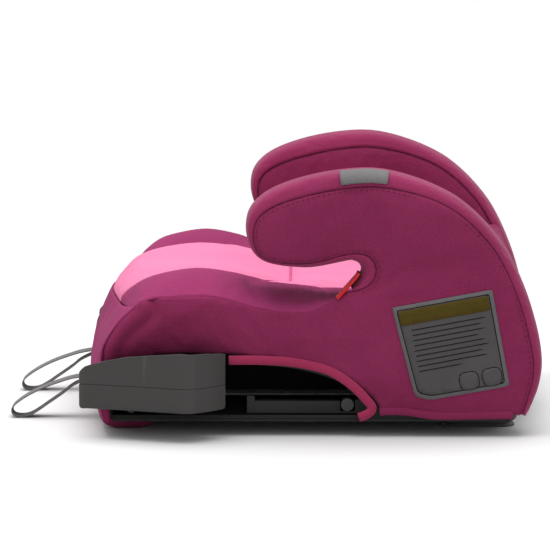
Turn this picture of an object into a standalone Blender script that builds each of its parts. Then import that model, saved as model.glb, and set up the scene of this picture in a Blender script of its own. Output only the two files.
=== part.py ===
"""Backless booster seat, modelled as the pieces it comes apart into.

Metres, +Z up. The seat faces -Y, so the child's left is +X. The floor is z = 0 and
the origin lies under the middle of the seat. Left pieces are built at +X and right
pieces at -X by the same functions.
"""
from math import cos, pi, radians, sin

import bmesh
import bpy
from mathutils import Matrix

# ---------------------------------------------------------------- driving dimensions
GAP = 0.0003                 # clearance between pieces that touch
HALF_WIDTH = 0.2133          # outside of the fabric side panels
FRONT_BOW = 0.0100           # how far the front cover bows forwards in the middle
REAR_BOW = 0.0115            # how far the rear cover bows backwards in the middle
SHELL_HALF_WIDTH = 0.2060
SHELL_FRONT = -0.1900
SHELL_REAR = 0.1750
SHELL_TOP = 0.1000
SHELL_NOSE = (-0.1815, 0.0870)  # where the sloped front of the shell's top starts and ends
WALL = 0.0030
RIB_X = 0.0600               # long ribs inside the shell
FOOT_HEIGHT = 0.0127
PLATE_LOW = 0.0130
PLATE_TOP = 0.0160
BAND = 0.0082                # thickness of the padded band around an arm
ARM_INNER = 0.1600           # inner face of an arm
ARM_CORE_INNER = 0.1860
BAND_OUTER = 0.2125
ARM_PAD_LOW = 0.1240         # the inner face of an arm ends just above the bolster

# Side view of an arm as (y, z): belt notch, underside, tip, crest, rear edge.
NOTCH_AND_ARM = [
    (0.0296, 0.1367), (0.0364, 0.1444), (0.0391, 0.1510), (0.0376, 0.1562), (0.0325, 0.1598),
    (0.0255, 0.1604), (-0.0110, 0.1550), (-0.0496, 0.1608), (-0.0645, 0.1800),
    (-0.0622, 0.2070), (-0.0362, 0.2270), (0.0173, 0.2405), (0.0653, 0.2405),
    (0.1216, 0.2190), (0.1629, 0.1808), (0.1880, 0.1330), (0.2025, 0.0800),
    (0.2015, 0.0490), (0.1900, 0.0190),
]
# Top edge of the side panel under the seat bolster, from the front corner backwards.
BOLSTER_SEAM = [
    (-0.1960, 0.0900), (-0.1860, 0.1120), (-0.1680, 0.1245), (-0.0960, 0.1290),
    (-0.0510, 0.1180), (-0.0110, 0.1148), (0.0155, 0.1230), (0.0270, 0.1280),
]
# Arch-shaped mouth of the side cavity, from its rear end forwards.
ARCH = [
    (0.0510, 0.0195), (0.0440, 0.0320), (0.0170, 0.0510), (-0.0230, 0.0625),
    (-0.0720, 0.0665),
]
ARCH_FRONT = -0.0720
CUP_BAY_FRONT = -0.1880
CUP_BAY_TOP = 0.0840

# Cup holder: a sector that swings out about an upright pin inside the base.
CUP_PIVOT = (0.1700, -0.1730)
CUP_RADIUS = 0.1045
CUP_WALL = 0.0035
CUP_LOW = 0.0275
CUP_TOP_FRONT = 0.0665
CUP_TOP_REAR = 0.0810
CUP_LUG = 0.0110
CUP_FACE = [                 # outer face of the left holder in plan, front to rear
    (0.2168, -0.2150), (0.2183, -0.2178), (0.2215, -0.2150), (0.2262, -0.2000),
    (0.2400, -0.1640), (0.2512, -0.1362), (0.2560, -0.1245), (0.2570, -0.1150),
    (0.2512, -0.1072),
]
PIN_RADIUS = 0.0040

SEAT_HALF = 0.1120           # half width of the pink centre
SEAT_REAR = 0.1490

LATCH_X = 0.0870             # lower connectors, webbing and pull loops
HOUSING = (0.0180, 0.0780, 0.1580, 0.0200, 0.0360)   # half width, y from, y to, z from, z to
JAW_PIVOT = (0.1260, 0.0325)
STRAP_Z = 0.0383
STRAP_WIDTH = 0.0220
STRAP_THICK = 0.0014
BEZEL_FACE = -0.2150
# Side view of a pull loop as (y, z): out of its slot, down to the floor and back.
STRAP_ROUTE = [
    (-0.2154, 0.0398), (-0.2300, 0.0372), (-0.2400, 0.0342), (-0.2520, 0.0300),
    (-0.2630, 0.0252), (-0.2750, 0.0185), (-0.2840, 0.0115), (-0.2862, 0.0062),
    (-0.2835, 0.0022), (-0.2760, 0.0011), (-0.2690, 0.0026), (-0.2610, 0.0072),
    (-0.2520, 0.0135), (-0.2440, 0.0190), (-0.2370, 0.0240), (-0.2290, 0.0303),
    (-0.2154, 0.0368),
]

COLOURS = {
    "burgundy": (0.170, 0.016, 0.062), "magenta": (0.370, 0.045, 0.175),
    "pink": (0.930, 0.290, 0.560), "shell_grey": (0.060, 0.058, 0.060),
    "cup_grey": (0.065, 0.062, 0.064), "foot_grey": (0.300, 0.300, 0.305),
    "red": (0.560, 0.006, 0.012), "webbing_grey": (0.400, 0.410, 0.430),
    "steel": (0.550, 0.550, 0.560), "label_grey": (0.105, 0.100, 0.103),
    "core_grey": (0.140, 0.140, 0.145),
}


# ---------------------------------------------------------------- scene and helpers
def clear_scene():
    for obj in list(bpy.data.objects):
        bpy.data.objects.remove(obj, do_unlink=True)


def new_collection(name):
    collection = bpy.data.collections.new(name)
    bpy.context.scene.collection.children.link(collection)
    return collection


def material(name, colour, roughness=0.8, metallic=0.0):
    mat = bpy.data.materials.new(name)
    mat.use_nodes = True
    shader = mat.node_tree.nodes["Principled BSDF"]
    shader.inputs["Base Color"].default_value = (*COLOURS[colour], 1.0)
    shader.inputs["Roughness"].default_value = roughness
    shader.inputs["Metallic"].default_value = metallic
    return mat


def add(obj, collection, colour, roughness=0.8, metallic=0.0):
    for owner in list(obj.users_collection):
        owner.objects.unlink(obj)
    collection.objects.link(obj)
    obj.data.materials.clear()
    obj.data.materials.append(material(obj.name, colour, roughness, metallic))
    return obj


def smooth(points, per_span=4):
    """Catmull-Rom curve through the points, ends included."""
    ends = [points[0], *points, points[-1]]
    curve = []
    for i in range(len(points) - 1):
        a, b, c, d = ends[i:i + 4]
        for step in range(per_span):
            t = step / per_span
            curve.append(tuple(
                0.5 * (2 * q + (r - p) * t + (2 * p - 5 * q + 4 * r - s) * t * t
                       + (3 * q - p - 3 * r + s) * t ** 3)
                for p, q, r, s in zip(a, b, c, d)))
    curve.append(tuple(points[-1]))
    return curve


def inset(path, distance):
    """The path moved to its right-hand side by a distance."""
    moved = []
    for i, (y, z) in enumerate(path):
        before = path[max(i - 1, 0)]
        after = path[min(i + 1, len(path) - 1)]
        dy, dz = after[0] - before[0], after[1] - before[1]
        length = (dy * dy + dz * dz) ** 0.5
        moved.append((y + dz / length * distance, z - dy / length * distance))
    return moved


def as_mesh(obj):
    """A curve turned into a welded mesh object of the same name and place."""
    bpy.context.scene.collection.objects.link(obj)
    bpy.context.view_layer.update()
    mesh = bpy.data.meshes.new_from_object(obj.evaluated_get(
        bpy.context.evaluated_depsgraph_get()))
    name, matrix, curve = obj.name, obj.matrix_world.copy(), obj.data
    bpy.data.objects.remove(obj, do_unlink=True)
    bpy.data.curves.remove(curve)
    bm = bmesh.new()
    bm.from_mesh(mesh)
    bmesh.ops.remove_doubles(bm, verts=bm.verts, dist=0.00001)
    bmesh.ops.recalc_face_normals(bm, faces=bm.faces)
    bm.to_mesh(mesh)
    bm.free()
    result = bpy.data.objects.new(name, mesh)
    result.matrix_world = matrix
    return result


def plate(name, outline, plane, low, high, origin=(0.0, 0.0)):
    """A flat outline extruded from low to high across its plane, "YZ" or "XY"."""
    curve = bpy.data.curves.new(name, "CURVE")
    curve.dimensions = "2D"
    curve.fill_mode = "BOTH"
    curve.extrude = abs(high - low) / 2
    spline = curve.splines.new("POLY")
    spline.points.add(len(outline) - 1)
    for point, (u, v) in zip(spline.points, outline):
        point.co = (u - origin[0], v - origin[1], 0.0, 1.0)
    spline.use_cyclic_u = True
    obj = bpy.data.objects.new(name, curve)
    middle = (low + high) / 2
    if plane == "YZ":
        turn = Matrix(((0, 0, 1), (1, 0, 0), (0, 1, 0))).to_4x4()
        obj.matrix_world = Matrix.Translation((middle, *origin)) @ turn
    else:
        obj.matrix_world = Matrix.Translation((*origin, middle))
    return as_mesh(obj)


def mesh_object(name, bm):
    mesh = bpy.data.meshes.new(name)
    bmesh.ops.recalc_face_normals(bm, faces=bm.faces)
    bm.to_mesh(mesh)
    bm.free()
    return bpy.data.objects.new(name, mesh)


def block(name, x, y, z):
    """A box between two limits on each axis, with its origin at its centre."""
    bm = bmesh.new()
    bmesh.ops.create_cube(bm, size=1.0)
    for vert in bm.verts:
        vert.co.x *= abs(x[1] - x[0])
        vert.co.y *= abs(y[1] - y[0])
        vert.co.z *= abs(z[1] - z[0])
    obj = mesh_object(name, bm)
    obj.location = (sum(x) / 2, sum(y) / 2, sum(z) / 2)
    return obj


def rod(name, radius, start, end, sides=20):
    """A cylinder between two points on one axis direction."""
    bm = bmesh.new()
    direction = Matrix.Identity(4)
    length = max(abs(b - a) for a, b in zip(start, end))
    if abs(end[0] - start[0]) == length:
        direction = Matrix.Rotation(pi / 2, 4, "Y")
    bmesh.ops.create_cone(bm, cap_ends=True, segments=sides, radius1=radius,
                          radius2=radius, depth=length, matrix=direction)
    obj = mesh_object(name, bm)
    obj.location = [(a + b) / 2 for a, b in zip(start, end)]
    obj.data.shade_smooth()
    obj.data.set_sharp_from_angle(angle=radians(40))
    return obj


def loft(name, sections):
    """A closed skin over equal rings of points, capped at both ends."""
    bm = bmesh.new()
    rings = [[bm.verts.new(point) for point in section] for section in sections]
    count = len(rings[0])
    for one, two in zip(rings, rings[1:]):
        for i in range(count):
            bm.faces.new((one[i], one[(i + 1) % count], two[(i + 1) % count], two[i]))
    bm.faces.new(rings[0][::-1])
    bm.faces.new(rings[-1])
    return mesh_object(name, bm)


def bevel(obj, width, segments=2, angle=40):
    modifier = obj.modifiers.new("edges", "BEVEL")
    modifier.width = width
    modifier.segments = segments
    modifier.limit_method = "ANGLE"
    modifier.angle_limit = radians(angle)
    return obj


def cut(obj, cutter, cutters):
    cutter.hide_render = True
    cutter.display_type = "WIRE"
    cutters.objects.link(cutter)
    modifier = obj.modifiers.new(cutter.name, "BOOLEAN")
    modifier.operation = "DIFFERENCE"
    modifier.solver = "EXACT"
    modifier.object = cutter
    return obj


def side_name(sign):
    return "left" if sign > 0 else "right"


# ---------------------------------------------------------------- base
def cavity_outline():
    """Side cavity: a tall bay for the cup holder and an arch running back from it."""
    sill = ARCH[0][1]
    return [(CUP_BAY_FRONT, sill), *smooth(ARCH), (ARCH_FRONT, CUP_BAY_TOP),
            (CUP_BAY_FRONT, CUP_BAY_TOP)]


def base_shell(parts, cutters):
    """Moulded shell, open underneath, with two long ribs, side cavities and rear slots."""
    low = PLATE_TOP + GAP
    profile = [(SHELL_FRONT, low), (SHELL_REAR, low), (SHELL_REAR, SHELL_TOP),
               (SHELL_NOSE[0], SHELL_TOP), (SHELL_FRONT, SHELL_NOSE[1])]
    outer = plate("base_shell", profile, "YZ", -SHELL_HALF_WIDTH, SHELL_HALF_WIDTH)
    add(outer, parts, "shell_grey", 0.55)
    inside = SHELL_HALF_WIDTH - WALL
    spans = [(-inside, -RIB_X - WALL / 2), (WALL / 2 - RIB_X, RIB_X - WALL / 2),
             (RIB_X + WALL / 2, inside)]
    roof = SHELL_TOP - WALL
    space = [(SHELL_FRONT + WALL, 0.0), (SHELL_REAR - WALL, 0.0), (SHELL_REAR - WALL, roof),
             (SHELL_NOSE[0] + WALL / 2, roof), (SHELL_FRONT + WALL, SHELL_NOSE[1] - WALL / 4)]
    for number, span in enumerate(spans):
        hollow = plate(f"cutter_shell_hollow_{number}", space, "YZ", *span)
        cut(outer, hollow, cutters)
    for sign in (1, -1):
        cavity = plate(f"cutter_cavity_{side_name(sign)}", cavity_outline(), "YZ",
                       sign * 0.1950, sign * 0.2200)
        cut(outer, cavity, cutters)
        slot = block(f"cutter_rear_slot_{side_name(sign)}",
                     (sign * (LATCH_X - 0.0215), sign * (LATCH_X + 0.0215)),
                     (SHELL_REAR - 0.02, SHELL_REAR + 0.02), (0.0172, 0.0400))
        cut(outer, slot, cutters)


def bottom_plate(parts):
    plate_body = block("bottom_plate", (-0.2030, 0.2030), (SHELL_FRONT + 0.002, SHELL_REAR),
                       (PLATE_LOW, PLATE_TOP))
    add(bevel(plate_body, 0.0008, 1), parts, "shell_grey", 0.6)


def feet(parts, sign):
    side = side_name(sign)
    front = block(f"front_foot_{side}", (sign * 0.1200, sign * 0.1700), (-0.2010, -0.1500),
                  (0.0, FOOT_HEIGHT))
    add(bevel(front, 0.0048, 3), parts, "burgundy", 0.9)
    rear = block(f"rear_foot_{side}", (sign * 0.1050, sign * 0.1550), (0.1100, 0.1850),
                 (0.0, FOOT_HEIGHT))
    add(bevel(rear, 0.0035, 3), parts, "foot_grey", 0.5)
    for place, y in (("front", -0.0500), ("rear", 0.0850)):
        screw = rod(f"{place}_screw_{side}", 0.0040, (sign * 0.1500, y, PLATE_LOW - 0.0023),
                    (sign * 0.1500, y, PLATE_LOW - GAP), 16)
        add(screw, parts, "steel", 0.35, 1.0)


def cavity_rail(parts, sign):
    """Stiffening rail along the side cavity, and the round catch at its rear end."""
    side = side_name(sign)
    low, top, strip, front = 0.0198, 0.0310, 0.0216, -0.0650
    outline = [(front, low), (0.0472, low), (0.0472, 0.0320), (0.0336, 0.0320),
               (0.0336, strip), (0.0200, strip), (0.0200, top), (-0.0580, top),
               (-0.0580, 0.0355), (front, 0.0355)]
    rail = plate(f"cavity_rail_{side}", outline, "YZ", sign * 0.1860, sign * 0.1960)
    add(rail, parts, "shell_grey", 0.5)
    catch = rod(f"rail_catch_{side}", 0.0058, (sign * 0.1880, 0.0267, 0.0278),
                (sign * 0.1985, 0.0267, 0.0278), 24)
    add(catch, parts, "cup_grey", 0.4)


# ---------------------------------------------------------------- cup holders
def arc(radius, start, end, count):
    """Points in plan on an arc about the left holder's pin, angles in degrees from +X."""
    angles = [radians(start + (end - start) * i / count) for i in range(count + 1)]
    return [(CUP_PIVOT[0] + radius * cos(a), CUP_PIVOT[1] + radius * sin(a)) for a in angles]


def cup_outline():
    """Plan of the left holder: its face, the arc behind it and a lug round the pin."""
    outline = smooth(CUP_FACE) + arc(CUP_RADIUS, 43, 60, 5) + arc(CUP_LUG, 165, 270, 6)
    return outline + [(0.2160, CUP_PIVOT[1] - CUP_LUG), (0.2175, -0.2050)]


def cup_hollow_outline():
    """Plan of the space for the drink."""
    front = [(0.2198, -0.1800), (0.2204, -0.1960), (0.2230, -0.1960)]
    return front + arc(CUP_RADIUS - CUP_WALL, 35, 57, 6) + arc(0.0290, 66, 6, 8)


def cup_holder(parts, cutters, sign):
    side = side_name(sign)
    pivot = (sign * CUP_PIVOT[0], CUP_PIVOT[1])
    outline = [(sign * x, y) for x, y in cup_outline()]
    holder = plate(f"cup_holder_{side}", outline, "XY", CUP_LOW, CUP_TOP_REAR, pivot)
    middle = (CUP_LOW + CUP_TOP_REAR) / 2
    front, rear = CUP_FACE[0][1], CUP_FACE[6][1]
    for vert in holder.data.vertices:
        if vert.co.z > 0:
            along = (vert.co.y + pivot[1] - front) / (rear - front)
            top = CUP_TOP_FRONT + (CUP_TOP_REAR - CUP_TOP_FRONT) * min(max(along, 0), 1)
            vert.co.z = top - middle
    add(holder, parts, "cup_grey", 0.5)
    inside = [(sign * x, y) for x, y in cup_hollow_outline()]
    hollow = plate(f"cutter_cup_{side}", inside, "XY", CUP_LOW + CUP_WALL, 0.1000, pivot)
    cut(holder, hollow, cutters)
    bore = rod(f"cutter_cup_bore_{side}", PIN_RADIUS + 0.0004, (*pivot, 0.0),
               (*pivot, 0.1100), 24)
    cut(holder, bore, cutters)
    pin = rod(f"cup_pivot_pin_{side}", PIN_RADIUS, (*pivot, PLATE_TOP + GAP),
              (*pivot, SHELL_TOP - WALL - GAP), 24)
    add(pin, parts, "steel", 0.3, 1.0)


# ---------------------------------------------------------------- arms and side covers
def arm_path():
    return smooth(NOTCH_AND_ARM)


def above(path, z):
    """The leading stretch of the path that ends where its rear edge drops below z."""
    crest = max(range(len(path)), key=lambda i: path[i][1])
    last = next(i for i in range(crest, len(path)) if path[i][1] < z)
    (y0, z0), (y1, z1) = path[last - 1], path[last]
    cross = (y0 + (y1 - y0) * (z0 - z) / (z0 - z1), z)
    return path[:last] + [cross]


def arm(parts, sign):
    side = side_name(sign)
    path = arm_path()
    inside = inset(path, BAND + 2 * GAP)
    band = path + inset(path, BAND)[::-1]
    add(plate(f"arm_band_{side}", band, "YZ", sign * (ARM_INNER + 0.001),
              sign * BAND_OUTER), parts, "magenta", 0.9)
    core = above(inside, SHELL_TOP + GAP)
    core.append((core[0][0], SHELL_TOP + GAP))
    add(plate(f"arm_frame_{side}", core, "YZ", sign * ARM_CORE_INNER,
              sign * (SHELL_HALF_WIDTH - GAP)), parts, "core_grey", 0.6)
    pad = above(inside, ARM_PAD_LOW)
    pad.append((pad[0][0], ARM_PAD_LOW))
    add(plate(f"arm_pad_{side}", pad, "YZ", sign * ARM_INNER,
              sign * (ARM_CORE_INNER - GAP)), parts, "magenta", 0.9)


def side_panel(parts, sign):
    """Padded outer cover: arm, rear corner and base side in one piece of fabric."""
    side = side_name(sign)
    outline = inset(arm_path(), BAND + GAP)
    outline += [(0.1500, 0.0198), (0.1080, 0.0192), (0.0807, 0.0231), (0.0620, 0.0200)]
    outline += [(y, z + 0.0005) for y, z in inset(smooth(ARCH), 0.0030)]
    outline += [(ARCH_FRONT + 0.003, CUP_BAY_TOP + 0.002),
                (CUP_BAY_FRONT - 0.002, CUP_BAY_TOP + 0.002),
                (CUP_BAY_FRONT - 0.002, PLATE_LOW), (-0.1960, PLATE_LOW)]
    outline += smooth(BOLSTER_SEAM)
    add(plate(f"side_panel_{side}", outline, "YZ", sign * (SHELL_HALF_WIDTH + GAP),
              sign * HALF_WIDTH), parts, "burgundy", 0.9)
    arch = inset(smooth(ARCH), 0.0040)
    trim = arch + inset(smooth(ARCH), 0.0100)[::-1]
    add(plate(f"arch_trim_{side}", trim, "YZ", sign * (HALF_WIDTH + GAP),
              sign * (HALF_WIDTH + 0.0033)), parts, "magenta", 0.85)


def belt_guide(parts, sign):
    """Red strip that leads the lap belt through the notch under the arm."""
    low, high, half = (0.0182, 0.1279), (0.0338, 0.1452), 0.0011
    outline = [(low[0] - half, low[1] + half), (low[0] + half, low[1] - half),
               (high[0] + half, high[1] - half), (high[0] - half, high[1] + half)]
    add(plate(f"belt_guide_{side_name(sign)}", outline, "YZ", sign * 0.1880,
              sign * 0.2128), parts, "red", 0.4)


# ---------------------------------------------------------------- seat, front and rear
def seat_pad(parts):
    """Foam pad with its lip rolled over the front edge; sections run across the seat."""
    top = smooth([(-0.1990, 0.1030), (-0.1940, 0.1110), (-0.1800, 0.1270),
                  (-0.1500, 0.1330), (-0.1150, 0.1355), (-0.0600, 0.1300),
                  (-0.0200, 0.1220), (0.0400, 0.1185), (SEAT_REAR, 0.1185)], 3)
    sections = []
    for i in range(9):
        x = SEAT_HALF * (i / 4 - 1)
        dish = 0.003 * (x / SEAT_HALF) ** 2
        under = [(x, SEAT_REAR, SHELL_TOP + GAP), (x, -0.1985, SHELL_TOP + GAP)]
        sections.append(under + [(x, y, z + dish) for y, z in top])
    add(loft("seat_pad", sections), parts, "pink", 0.9)


def bolster(parts, sign):
    """Raised side of the seat, highest at the front and lower where the arm stands."""
    crest = smooth([(-0.1860, 0.1080), (-0.1690, 0.1217), (-0.1460, 0.1384),
                    (-0.1106, 0.1452), (-0.0800, 0.1394), (-0.0450, 0.1275),
                    (-0.0100, 0.1225), (0.0265, 0.1225), (SEAT_REAR, 0.1225)], 3)
    floor = SHELL_TOP + GAP
    sections = []
    for y, z in crest:
        outer = 0.2055 if y < 0.0 else max(0.1855, 0.2055 - 0.0200 * y / 0.0200)
        shoulder = floor + 0.55 * (z - floor)
        profile = [(SEAT_HALF + 0.0005, floor), (outer, floor), (outer, shoulder),
                   (outer - 0.0120, z - 0.0050), (0.1650, z), (0.1450, z - 0.0010),
                   (SEAT_HALF + 0.0005, z - 0.0060)]
        sections.append([(sign * x, y, height) for x, height in profile])
    add(loft(f"seat_bolster_{side_name(sign)}", sections), parts, "magenta", 0.9)


def front_panel(parts):
    """Padded front cover, bowed forwards in the middle."""
    profile = [(-0.1950, 0.0130), (-0.2015, 0.0300), (-0.2034, 0.0500), (-0.2010, 0.0680),
               (-0.1985, 0.0800), (-0.1925, 0.0950)]
    sections = []
    for i in range(13):
        x = SHELL_HALF_WIDTH * (i / 6 - 1)
        bow = FRONT_BOW * (1 - (x / HALF_WIDTH) ** 2)
        ring = [(x, SHELL_FRONT - GAP, PLATE_LOW)]
        ring += [(x, y - bow, z) for y, z in profile]
        ring.append((x, SHELL_FRONT - GAP, SHELL_TOP - 0.0010))
        sections.append(ring)
    add(loft("front_panel", sections), parts, "burgundy", 0.9)


def rear_pieces(parts):
    """Low back wall: frame, inner pad and outer cover, which bows backwards."""
    half = ARM_INNER - GAP
    add(block("back_frame", (-half, half), (0.1645, SHELL_REAR), (SHELL_TOP + GAP, 0.1480)),
        parts, "core_grey", 0.6)
    pad = block("back_pad", (-half, half), (SEAT_REAR + GAP, 0.1642),
                (SHELL_TOP + GAP, 0.1500))
    add(bevel(pad, 0.0050, 2), parts, "magenta", 0.9)
    outer = [(0.2030, 0.0600), (0.2035, 0.0800), (0.1950, 0.1130), (0.1880, 0.1330),
             (0.1800, 0.1520)]
    sections = []
    for i in range(11):
        x = half * (i / 5 - 1)
        bow = REAR_BOW * (1 - (x / HALF_WIDTH) ** 2)
        ring = [(x, SHELL_REAR + GAP, 0.1520), (x, SHELL_REAR + GAP, 0.0600)]
        sections.append(ring + [(x, y + bow, z) for y, z in outer])
    add(loft("rear_panel", sections), parts, "burgundy", 0.9)


# ---------------------------------------------------------------- lower anchor system
def connector(parts, cutters, sign):
    """Hook connector on webbing: slotted housing, jaw on a pin, and release button."""
    side = side_name(sign)
    x = sign * LATCH_X
    half, y0, y1, z0, z1 = HOUSING
    housing = block(f"connector_housing_{side}", (x - half, x + half), (y0, y1), (z0, z1))
    add(housing, parts, "cup_grey", 0.45)
    mouth = block(f"cutter_mouth_{side}", (x - 0.03, x + 0.03), (y1 - 0.0180, y1 + 0.01),
                  (0.0235, 0.0305))
    cut(housing, mouth, cutters)
    slit = block(f"cutter_slit_{side}", (x - 0.0045, x + 0.0045), (0.1160, y1 + 0.01),
                 (0.0225, 0.0400))
    cut(housing, slit, cutters)
    well = block(f"cutter_button_{side}", (x - 0.0085, x + 0.0085), (0.0880, 0.1110),
                 (0.0300, 0.0400))
    cut(housing, well, cutters)
    bore = rod(f"cutter_jaw_bore_{side}", 0.0021, (x - 0.0120, *JAW_PIVOT),
               (x + 0.0120, *JAW_PIVOT), 16)
    cut(housing, bore, cutters)
    pin = rod(f"jaw_pin_{side}", 0.0018, (x - 0.0117, *JAW_PIVOT), (x + 0.0117, *JAW_PIVOT), 16)
    add(pin, parts, "steel", 0.3, 1.0)
    blade = [(0.1185, 0.0305), (0.1500, 0.0300), (0.1500, 0.0240), (0.1545, 0.0240),
             (0.1560, 0.0310), (0.1530, 0.0345), (0.1185, 0.0345)]
    jaw = plate(f"connector_jaw_{side}", blade, "YZ", x - 0.0040, x + 0.0040, JAW_PIVOT)
    add(jaw, parts, "steel", 0.35, 1.0)
    jaw_bore = rod(f"cutter_jaw_hole_{side}", 0.0019, (x - 0.0100, *JAW_PIVOT),
                   (x + 0.0100, *JAW_PIVOT), 16)
    cut(jaw, jaw_bore, cutters)
    button = block(f"release_button_{side}", (x - 0.0080, x + 0.0080), (0.0935, 0.1105),
                   (0.0303, 0.0375))
    add(bevel(button, 0.0008, 2), parts, "red", 0.45)
    webbing = block(f"anchor_webbing_{side}", (x - 0.0125, x + 0.0125), (-0.1480, y0 - GAP),
                    (0.0222, 0.0236))
    add(webbing, parts, "webbing_grey", 0.85)


def adjuster(parts, cutters, sign):
    """Webbing lock behind the front strap slot: channel body and toothed lever."""
    side = side_name(sign)
    x = sign * LATCH_X
    body = block(f"adjuster_body_{side}", (x - 0.0170, x + 0.0170), (-0.1860, -0.1500),
                 (PLATE_TOP + GAP, 0.0283))
    add(body, parts, "steel", 0.4, 1.0)
    channel = block(f"cutter_channel_{side}", (x - 0.0130, x + 0.0130), (-0.20, -0.13),
                    (0.0185, 0.0400))
    cut(body, channel, cutters)
    outline = [(-0.1790, 0.0215), (-0.1580, 0.0205), (-0.1560, 0.0225), (-0.1700, 0.0255),
               (-0.1790, 0.0255)]
    lever = plate(f"adjuster_lever_{side}", outline, "YZ", x - 0.0120, x + 0.0120,
                  (-0.1760, 0.0235))
    add(lever, parts, "cup_grey", 0.4)


def pull_loop(parts, cutters, sign):
    """Front pull loop: flat webbing that leaves a slot bezel and rests on the floor."""
    side = side_name(sign)
    x = sign * LATCH_X
    half = STRAP_WIDTH / 2
    bezel = block(f"strap_bezel_{side}", (x - half - 0.0045, x + half + 0.0045),
                  (BEZEL_FACE, BEZEL_FACE + 0.0022), (STRAP_Z - 0.0060, STRAP_Z + 0.0060))
    add(bezel, parts, "cup_grey", 0.45)
    slot = block(f"cutter_strap_slot_{side}", (x - half - 0.0010, x + half + 0.0010),
                 (BEZEL_FACE - 0.01, BEZEL_FACE + 0.01), (STRAP_Z - 0.0028, STRAP_Z + 0.0028))
    cut(bezel, slot, cutters)
    route = smooth(STRAP_ROUTE)
    ribbon = inset(route, STRAP_THICK / 2) + inset(route, -STRAP_THICK / 2)[::-1]
    add(plate(f"pull_strap_{side}", ribbon, "YZ", x - half, x + half), parts,
        "webbing_grey", 0.85)


# ---------------------------------------------------------------- tabs and label
def tabs(parts):
    tab = block("crest_tab", (0.2137, 0.2150), (0.0170, 0.0640), (0.2170, 0.2315))
    add(tab, parts, "label_grey", 0.8)
    corners = [(0.0667, 0.1193), (0.1577, 0.1364), (0.1740, 0.0480), (0.1028, 0.0320),
               (0.0874, 0.0392)]
    add(plate("side_label", corners, "YZ", 0.2137, 0.2147), parts, "label_grey", 0.7)
    tag = block("front_tag", (-0.0060, 0.0060), (-0.2118, -0.2108), (0.0735, 0.0865))
    add(tag, parts, "foot_grey", 0.8)


def main():
    clear_scene()
    parts = new_collection("booster_seat")
    cutters = new_collection("cutters")
    base_shell(parts, cutters)
    bottom_plate(parts)
    seat_pad(parts)
    front_panel(parts)
    rear_pieces(parts)
    tabs(parts)
    for sign in (1, -1):
        feet(parts, sign)
        cavity_rail(parts, sign)
        cup_holder(parts, cutters, sign)
        arm(parts, sign)
        side_panel(parts, sign)
        belt_guide(parts, sign)
        bolster(parts, sign)
        connector(parts, cutters, sign)
        adjuster(parts, cutters, sign)
        pull_loop(parts, cutters, sign)


main()
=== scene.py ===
"""Looks of the booster seat: padded fabric, trims, plastic, webbing, light and camera.

Metres, +Z up, seat facing -Y, child's left at +X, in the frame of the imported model.
"""
from math import cos, exp, pi, radians, sin

import bmesh
import bpy
from mathutils import Matrix, Vector, kdtree, noise
from mathutils.geometry import delaunay_2d_cdt


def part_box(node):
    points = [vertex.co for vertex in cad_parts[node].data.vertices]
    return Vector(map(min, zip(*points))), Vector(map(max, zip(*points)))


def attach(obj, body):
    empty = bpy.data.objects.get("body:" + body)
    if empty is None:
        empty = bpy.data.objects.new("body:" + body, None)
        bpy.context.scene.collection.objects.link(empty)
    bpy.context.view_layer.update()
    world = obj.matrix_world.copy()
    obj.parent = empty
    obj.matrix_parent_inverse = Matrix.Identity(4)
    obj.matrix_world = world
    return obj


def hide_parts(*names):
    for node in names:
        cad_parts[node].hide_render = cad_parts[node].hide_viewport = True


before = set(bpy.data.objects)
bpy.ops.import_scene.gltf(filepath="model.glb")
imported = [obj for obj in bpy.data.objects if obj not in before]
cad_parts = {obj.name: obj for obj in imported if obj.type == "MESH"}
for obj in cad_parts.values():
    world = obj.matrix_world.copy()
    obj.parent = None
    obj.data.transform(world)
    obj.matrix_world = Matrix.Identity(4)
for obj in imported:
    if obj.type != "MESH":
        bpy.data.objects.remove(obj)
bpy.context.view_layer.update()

SIDES = ((1, "left"), (-1, "right"))

# ---------------------------------------------------------------- shared outlines
# the arm's silhouette from its notch round to the rear: y, z and how far inside the seam lies
NOTCH_AND_ARM = [
    (0.0296, 0.1367, 0.0035), (0.0364, 0.1444, 0.0095), (0.0391, 0.1510, 0.0130),
    (0.0376, 0.1562, 0.0125), (0.0325, 0.1598, 0.0085), (0.0255, 0.1604, 0.0062),
    (-0.0110, 0.1550, 0.0034), (-0.0496, 0.1608, 0.0024), (-0.0645, 0.1800, 0.0050),
    (-0.0622, 0.2070, 0.0095), (-0.0362, 0.2270, 0.0125), (0.0173, 0.2405, 0.0128),
    (0.0653, 0.2405, 0.0118), (0.1216, 0.2190, 0.0085), (0.1629, 0.1808, 0.0074),
    (0.1880, 0.1330, 0.0075), (0.2025, 0.0800, 0.0075), (0.2015, 0.0490, 0.0065),
    (0.1900, 0.0190, 0.0040),
]
ARCH = [(0.0510, 0.0195), (0.0440, 0.0320), (0.0170, 0.0510), (-0.0230, 0.0625),
        (-0.0720, 0.0665)]
STRAP_ROUTE = [
    (-0.2154, 0.0398), (-0.2300, 0.0372), (-0.2400, 0.0342), (-0.2520, 0.0300),
    (-0.2630, 0.0252), (-0.2750, 0.0185), (-0.2840, 0.0115), (-0.2862, 0.0062),
    (-0.2835, 0.0022), (-0.2760, 0.0011), (-0.2690, 0.0026), (-0.2610, 0.0072),
    (-0.2520, 0.0135), (-0.2440, 0.0190), (-0.2370, 0.0240), (-0.2290, 0.0303),
    (-0.2154, 0.0368),
]
SEAM_X = 0.2108              # where side covers are sewn to the arm band
ARM_MIDDLE = 0.1857
ARM_HALF = 0.0262
ARM_PAD_X = 0.1612
FRONT_EDGE = [(-0.1940, 0.0130), (-0.1975, 0.0300), (-0.1985, 0.0500), (-0.1970, 0.0680),
              (-0.1945, 0.0840), (-0.1810, 0.1050), (-0.1660, 0.1190)]
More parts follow.
